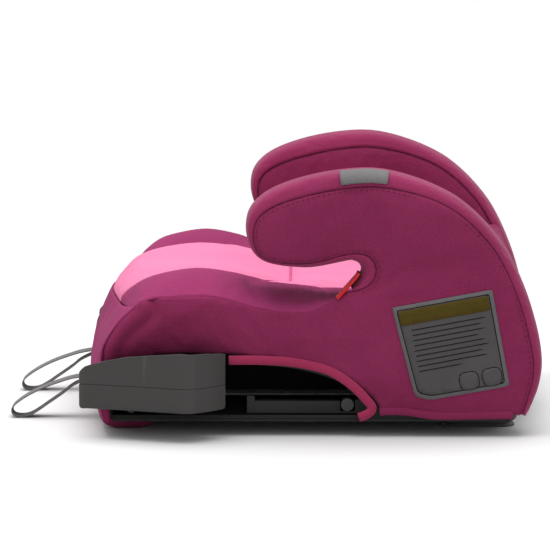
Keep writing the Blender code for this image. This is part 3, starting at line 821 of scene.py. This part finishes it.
TRIM_ROUTE = [(-0.0815, 0.0706), (-0.0512, 0.0707), (-0.0224, 0.0688), (0.0030, 0.0635),
              (0.0175, 0.0572), (0.0325, 0.0462), (0.0434, 0.0350), (0.0492, 0.0268),
              (0.0450, 0.0215), (0.0370, 0.0180)]
TRIM_WIDTH, TRIM_DEPTH, TRIM_LIFT = 0.0086, 0.0056, 0.0008
HEM_WIDTH, HEM_DEPTH, HEM_LIFT = 0.0076, 0.0046, 0.0004
HEM_END = (0.1775, 0.0206)   # the sewn hem stops short of the rear corner


def arch_trim(sign, side):
    """Folded binding round the side cavity, its tail turned back, and the lower hem."""
    trim = sweep(f"cavity_binding_{side}", even(smooth(TRIM_ROUTE), 0.0020),
                 rounded_section(TRIM_WIDTH, TRIM_DEPTH, 0.75), SEAM_X + TRIM_LIFT, sign,
                 TRIM_CLOTH)
    place(trim, "seat", "band_fabric", f"arch_trim_{side}")
    hem = sweep(f"lower_hem_{side}", even(smooth(HEM[:-1] + [HEM_END]), 0.0030),
                rounded_section(HEM_WIDTH, HEM_DEPTH, 0.75), SEAM_X + HEM_LIFT, sign,
                SIDE_CLOTH)
    place(hem, "seat", "side_fabric")


GUIDE_ROUTE = [(0.0172, 0.1268), (0.0215, 0.1315), (0.0290, 0.1399), (0.0345, 0.1462),
               (0.0368, 0.1500)]
GUIDE_X = 0.2008
GUIDE_THICK, GUIDE_WIDTH = 0.0030, 0.0262


def belt_guide(sign, side):
    """Red lip along the front of the belt notch."""
    guide = sweep(f"guide_{side}", even(smooth(GUIDE_ROUTE), 0.0010),
                  rounded_section(GUIDE_THICK, GUIDE_WIDTH, 0.5, 24), GUIDE_X, sign,
                  RED_PLASTIC)
    place(guide, "seat", "red_plastic", f"belt_guide_{side}")


# ---------------------------------------------------------------- cup holders
CUP_PIVOT = (0.1700, -0.1730)
CUP_FACE = [
    (0.2168, -0.2150), (0.2183, -0.2178), (0.2215, -0.2150), (0.2262, -0.2000),
    (0.2400, -0.1640), (0.2512, -0.1362), (0.2560, -0.1245), (0.2570, -0.1150),
    (0.2512, -0.1072),
]
CUP_RADIUS = 0.1045
CUP_WALL = 0.0032
CUP_FLOOR = 0.0035
CUP_LOW = 0.0275
CUP_PART = 0.0500            # height of the parting line
CUP_LUG = 0.0108             # radius of the lug round the pin
CUP_NECK = [(0.2160, -0.1838), (0.2173, -0.2050)]
CUP_SPACE_FRONT = [(0.2196, -0.1800), (0.2202, -0.1985), (0.2222, -0.1985)]
CUP_SPACE_LUG = 0.0290       # the drink's space keeps this far from the pin
RIM_DROP = 0.0090            # the rim's inner side is this much lower
RIM_DROP_X, RIM_DROP_REACH = 0.2235, 0.0120
CUP_TOP = [(-0.2180, 0.0622), (-0.2117, 0.0668), (-0.2040, 0.0690), (-0.1932, 0.0719),
           (-0.1745, 0.0762), (-0.1560, 0.0785), (-0.1420, 0.0799), (-0.1240, 0.0818),
           (-0.1010, 0.0808), (-0.0825, 0.0775)]


def level(table, y):
    """Height read off a short (y, z) table."""
    if y <= table[0][0]:
        return table[0][1]
    for (y0, z0), (y1, z1) in zip(table, table[1:]):
        if y <= y1:
            return z0 + (z1 - z0) * (y - y0) / (y1 - y0)
    return table[-1][1]


def about_pin(radius, start, end, count):
    """Points in plan on an arc about the left holder's pin, angles in degrees from +X."""
    angles = [radians(start + (end - start) * i / count) for i in range(count + 1)]
    return [(CUP_PIVOT[0] + radius * cos(a), CUP_PIVOT[1] + radius * sin(a)) for a in angles]


def shrink(loop, distance):
    """A closed anticlockwise loop moved inwards."""
    count = len(loop)
    moved = []
    for i, (x, y) in enumerate(loop):
        ahead, behind = loop[(i + 1) % count], loop[i - 1]
        dx, dy = ahead[0] - behind[0], ahead[1] - behind[1]
        length = (dx * dx + dy * dy) ** 0.5 or 1.0
        moved.append((x - dy / length * distance, y + dx / length * distance))
    return moved


def prism(name, loop, low, high, material):
    verts = [(x, y, low) for x, y in loop] + [(x, y, high) for x, y in loop]
    count = len(loop)
    faces = grid_faces(2, count, closed=True)
    faces += [tuple(reversed(range(count))), tuple(range(count, 2 * count))]
    return closed_normals(piece(name, verts, faces, material, False))


def cup_top(x, y):
    """The rim is highest on the outer corner and lower where the holder enters the base."""
    return level(CUP_TOP, y) - RIM_DROP * steps(RIM_DROP_X - x, 0.0, RIM_DROP_REACH)


def cup_holder(sign, side):
    """Holder with a rounded lower edge, a fine parting line and a hollow for a drink."""
    outline = smooth(CUP_FACE) + about_pin(CUP_RADIUS, 43, 59, 8)
    outline += about_pin(CUP_LUG, 165, 270, 8) + CUP_NECK
    edge, points, triangles = filled(outline, 0.0028)
    count = len(edge)
    verts, faces = [], []
    profile = ((0.0030, CUP_LOW), (0.0012, CUP_LOW + 0.0006), (0.0003, CUP_LOW + 0.0018),
               (0.0, CUP_LOW + 0.0038), (0.0, CUP_PART - 0.0007), (0.0006, CUP_PART),
               (0.0, CUP_PART + 0.0007))
    for inward, height in profile:
        verts += [(sign * x, y, height) for x, y in shrink(edge, inward)]
    faces += grid_faces(len(profile) + 1, count, closed=True)
    faces.append(tuple(range(count)))
    start = len(verts)
    verts += [(sign * x, y, cup_top(x, y)) for x, y in points]
    faces += [tuple(start + i for i in triangle) for triangle in triangles]
    holder = closed_normals(piece(f"drink_holder_{side}", verts, faces, CUP_PLASTIC))
    space = CUP_SPACE_FRONT + about_pin(CUP_RADIUS - CUP_WALL, 34.5, 57, 12)
    space += about_pin(CUP_SPACE_LUG, 66, 6, 12)
    cutter = prism("cutter", [(sign * x, y) for x, y in space], CUP_LOW + CUP_FLOOR, 0.12,
                   CUP_PLASTIC)
    hollow = holder.modifiers.new("hollow", "BOOLEAN")
    hollow.object = cutter
    bpy.context.view_layer.update()
    seen = holder.evaluated_get(bpy.context.evaluated_depsgraph_get())
    cut_mesh = bpy.data.meshes.new_from_object(seen)
    holder.modifiers.clear()
    holder.data = cut_mesh
    bpy.data.objects.remove(cutter)
    rounding = holder.modifiers.new("rounding", "BEVEL")
    rounding.width = 0.0008
    rounding.segments = 3
    rounding.limit_method = "ANGLE"
    rounding.angle_limit = radians(50)
    cut_mesh.shade_smooth()
    cut_mesh.set_sharp_from_angle(angle=radians(38))
    place(holder, f"cup_{side}", "cup_plastic", f"cup_holder_{side}")


# ---------------------------------------------------------------- feet, tabs and label
def dome(name, centre, half, material, flat=0.45):
    """A rounded foot: full at its top, drawn in towards a flat sole."""
    verts = []
    rings = [(1.0, 1.0), (0.99, 0.75), (0.95, 0.52), (0.86, 0.30), (0.72, 0.12),
             (flat + 0.1, 0.02), (flat, 0.0)]
    count = 40
    for size, height in rings:
        for k in range(count):
            angle = 2 * pi * k / count
            c, s = cos(angle), sin(angle)
            verts.append((centre[0] + half[0] * size * abs(c) ** 0.55 * (1 if c > 0 else -1),
                          centre[1] + half[1] * size * abs(s) ** 0.55 * (1 if s > 0 else -1),
                          half[2] * height))
    faces = grid_faces(len(rings), count, closed=True)
    faces.append(tuple(range(count)))
    faces.append(tuple(reversed(range(len(verts) - count, len(verts)))))
    return closed_normals(piece(name, verts, faces, material))


def feet(side):
    for kind, material, slot in (("front", SIDE_CLOTH, "side_fabric"),
                                 ("rear", FOOT_PLASTIC, "foot_plastic")):
        low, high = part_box(f"{kind}_foot_{side}")
        centre, half = (low + high) / 2, (high - low) / 2
        foot = dome(f"{kind}_pad_{side}", centre, (half.x, half.y, high.z), material,
                    0.45 if kind == "front" else 0.82)
        place(foot, "seat", slot, f"{kind}_foot_{side}")


TAB_FRONT, TAB_REAR = 0.0173, 0.0643
TAB_LIFT = 0.0011


def crest_tab():
    """Blank woven tab folded over the arm's outer seam."""
    chosen = [i for i, (y, z) in enumerate(ARM_PATH) if z > 0.2 and TAB_FRONT <= y <= TAB_REAR]
    turns = [0.46 - 0.44 * k / 12 for k in range(13)]
    verts = []
    for index in chosen:
        ny, nz = band_normal(index)
        for turn in turns:
            x, y, z = band_point(index, turn)
            verts.append((x + TAB_LIFT * cos(pi * turn), y - ny * TAB_LIFT,
                          z - nz * TAB_LIFT))
    tab = piece("blank_tab", verts, grid_faces(len(chosen), len(turns)), TAB_GREY)
    stiffen(tab, 0.0009)
    place(tab, "seat", "label", "crest_tab")


def rounded_rectangle(width, height, radius, corner=5):
    points = []
    for cx, cy, start in ((1, 1, 0), (-1, 1, 90), (-1, -1, 180), (1, -1, 270)):
        for k in range(corner + 1):
            angle = radians(start + 90 * k / corner)
            points.append((cx * (width / 2 - radius) + radius * cos(angle),
                           cy * (height / 2 - radius) + radius * sin(angle)))
    return points


def label_piece(name, outline, origin, tilt, lift, cover, material, thickness=0.0003):
    """A thin printed shape laid on the side cover and following its surface."""
    turn = Matrix.Rotation(tilt, 2)
    placed = [tuple(turn @ Vector(p) + Vector(origin)) for p in outline]

    def x_at(y, z):
        hit, spot, _, _ = cover.ray_cast(Vector((0.30, y, z)), Vector((-1, 0, 0)))
        return (spot.x if hit else SEAM_X + 0.003) + lift

    sheet, _ = cover_sheet(name, placed, x_at, 1, material, 0.0040)
    modifier = sheet.modifiers.new("thickness", "SOLIDIFY")
    modifier.thickness = thickness
    modifier.offset = -1.0
    return place(sheet, "seat", "label")


LABEL_SHAPE = [(-0.0455, 0.0450), (0.0455, 0.0450), (0.0463, 0.0440), (0.0463, -0.0438),
               (0.0450, -0.0449), (-0.0240, -0.0449), (-0.0290, -0.0440), (-0.0385, -0.0400),
               (-0.0404, -0.0365), (-0.0463, 0.0440)]
LABEL_MIDDLE = (0.1204, 0.0837)
LABEL_TILT = radians(10.5)
# how far the layers of the label stand off the cover
SHEET, BORDER, FIELD, PRINT, BOX_FACE = 0.0009, 0.0012, 0.0015, 0.0018, 0.0021
BAR_SHARES = (1.0, 0.93, 0.97, 0.88, 0.95, 0.98, 0.90, 0.94, 0.60)
BAR_LENGTH, BAR_HEIGHT, BAR_PITCH, FIRST_BAR = 0.0700, 0.0008, 0.0048, 0.0215
BOX_PLACES = (0.0109, 0.0320)
BOX_DROP = -0.0335


def side_label(cover):
    """Plain grey label with an olive band and unlettered bars."""
    origin, tilt = LABEL_MIDDLE, LABEL_TILT
    turn = Matrix.Rotation(tilt, 2)

    def at(u, v):
        return tuple(turn @ Vector((u, v)) + Vector(origin))

    def scaled(by):
        return [(u * by, v * by) for u, v in LABEL_SHAPE]

    panel = label_piece("label_sheet", scaled(1.0), origin, tilt, SHEET, cover, LABEL_PALE)
    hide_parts("side_label")
    label_piece("label_border", scaled(0.925), origin, tilt, BORDER, cover, LABEL_DARK)
    label_piece("label_field", scaled(0.905), origin, tilt, FIELD, cover, LABEL_GREY)
    label_piece("label_band", rounded_rectangle(0.0826, 0.0136, 0.0008), at(0.0, 0.0336),
                tilt, PRINT, cover, LABEL_OLIVE)
    for number, share in enumerate(BAR_SHARES):
        bar = rounded_rectangle(BAR_LENGTH * share, BAR_HEIGHT, 0.0003, 2)
        spot = at(-BAR_LENGTH / 2 * (1 - share) + 0.0010, FIRST_BAR - BAR_PITCH * number)
        label_piece(f"label_bar_{number}", bar, spot, tilt, PRINT, cover, LABEL_DARK)
    for number, u in enumerate(BOX_PLACES):
        outer = rounded_rectangle(0.0185, 0.0172, 0.0055)
        label_piece(f"label_box_{number}", outer, at(u, BOX_DROP), tilt, PRINT, cover,
                    LABEL_DARK)
        inner = rounded_rectangle(0.0171, 0.0158, 0.0049)
        label_piece(f"label_box_face_{number}", inner, at(u, BOX_DROP), tilt, BOX_FACE,
                    cover, LABEL_GREY)


TAG_HALF = 0.0060
TAG_LIFT, TAG_CROWN = 0.0006, 0.0012


def front_tag(cover):
    """Small blank tag sewn flat to the front cover."""
    low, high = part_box("front_tag")
    middle = (low + high) / 2
    verts = []
    surface = [v.co for v in cover.data.vertices]
    ends = [min(surface, key=lambda co: (co - Vector((middle.x, co.y, z))).length).y
            for z in (high.z, low.z)]
    for k in range(9):
        t = k / 8
        z = high.z - t * (high.z - low.z)
        y = ends[0] + (ends[1] - ends[0]) * t - TAG_LIFT - TAG_CROWN * sin(pi * t)
        verts += [(middle.x - TAG_HALF, y, z), (middle.x + TAG_HALF, y, z)]
    tag = piece("blank_tag", verts, grid_faces(9, 2), TAB_GREY)
    stiffen(tag, 0.0008)
    place(tag, "seat", "label", "front_tag")


# ---------------------------------------------------------------- carried CAD parts
def dress_cad_parts():
    finishes = {
        "base_shell": SHELL_PLASTIC, "bottom_plate": SHELL_PLASTIC, "back_frame": FRAME_PLASTIC,
        "arm_frame": FRAME_PLASTIC, "cavity_rail": SHELL_PLASTIC, "rail_catch": CUP_PLASTIC,
        "cup_pivot_pin": STEEL, "connector_housing": CUP_PLASTIC, "connector_jaw": STEEL,
        "jaw_pin": STEEL, "release_button": RED_PLASTIC, "anchor_webbing": ANCHOR_WEB,
        "adjuster_body": STEEL, "adjuster_lever": CUP_PLASTIC, "front_screw": STEEL,
        "rear_screw": STEEL, "strap_bezel": CUP_PLASTIC,
    }
    for name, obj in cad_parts.items():
        for start, material in finishes.items():
            if name.startswith(start):
                obj.data.materials.clear()
                obj.data.materials.append(material)


# ---------------------------------------------------------------- light and floor
FLOOR_BACK = -1.1
FLOOR_HALF = 1.6
LAMP_PLACE = (0.1, 0.0, 3.0)
LAMP_TARGET = (0.0, 0.0, 0.1)
LAMP_SIZE = 3.0
LAMP_WATTS = 110.0


def studio():
    half = FLOOR_HALF
    floor = piece("floor", [(FLOOR_BACK, -half, 0), (half, -half, 0), (half, half, 0),
                            (FLOOR_BACK, half, 0)], [(0, 1, 2, 3)], pale_floor())
    world = bpy.data.worlds.new("studio")
    bpy.context.scene.world = world
    world.use_nodes = True
    background = world.node_tree.nodes["Background"]
    background.inputs["Color"].default_value = (1.0, 1.0, 1.0, 1.0)
    background.inputs["Strength"].default_value = 1.0
    lamp("overhead", LAMP_PLACE, LAMP_TARGET, LAMP_SIZE, LAMP_WATTS)
    bpy.context.scene.view_settings.view_transform = "Standard"


def pale_floor():
    material, _, shader = shader_of("pale_floor")
    shader.inputs["Base Color"].default_value = (0.60, 0.60, 0.60, 1.0)
    shader.inputs["Roughness"].default_value = 0.7
    return material


def lamp(name, spot, target, size, power):
    data = bpy.data.lights.new(name, "AREA")
    data.shape = "SQUARE"
    data.size = size
    data.energy = power
    obj = bpy.data.objects.new(name, data)
    obj.location = spot
    obj.rotation_euler = (Vector(target) - Vector(spot)).to_track_quat("-Z", "Y").to_euler()
    bpy.context.scene.collection.objects.link(obj)


# ---------------------------------------------------------------- build
camera()
for sign, side in SIDES:
    pull_loop(sign, side)
dress_cad_parts()
seat_cover()
front = front_cover()
rear_cover()
side_covers = {}
for sign, side in SIDES:
    bolster_cover(sign, side)
    arm_band(sign, side)
    side_covers[side] = side_cover(sign, side)
    arm_pad(sign, side)
    seam_stitches(sign, side)
    arch_trim(sign, side)
    belt_guide(sign, side)
    cup_holder(sign, side)
    feet(side)
simulate()
crest_tab()
side_label(side_covers["left"])
front_tag(front)
studio()
